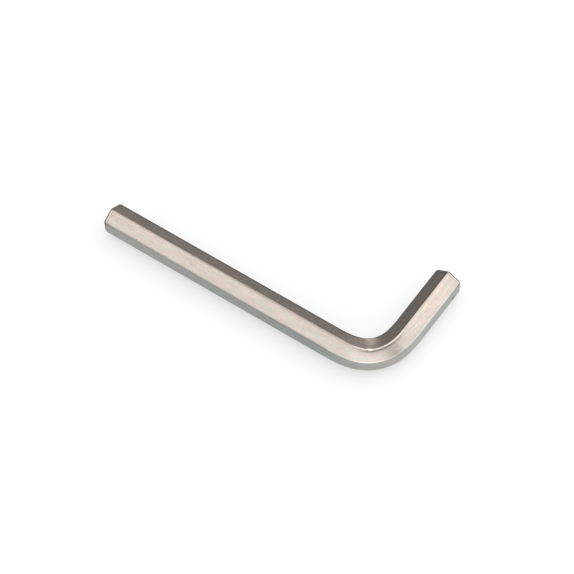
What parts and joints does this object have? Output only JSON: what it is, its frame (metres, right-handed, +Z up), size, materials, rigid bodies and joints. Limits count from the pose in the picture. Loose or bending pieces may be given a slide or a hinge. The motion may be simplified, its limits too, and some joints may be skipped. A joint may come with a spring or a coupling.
{
  "type": "hex key",
  "caption": "L-shaped hex key bent from one bar of hexagon steel, with a long and a short arm at a right angle, bevelled tips and a satin drawn finish.",
  "frame": {"origin": "centre of the footprint of the key lying flat, at the level of the surface it rests on", "axes": "+X along the long arm, from its tip towards the bend; +Y along the short arm, from the bend towards its tip; +Z up"},
  "size_m": [0.122, 0.05, 0.0114],
  "materials": {
    "nickel_steel": "satin nickel over drawn steel, with fine streaks along the bar"
  },
  "bodies": {
    "root": {"hex_key": "nickel_steel"}
  },
  "joints": []
}
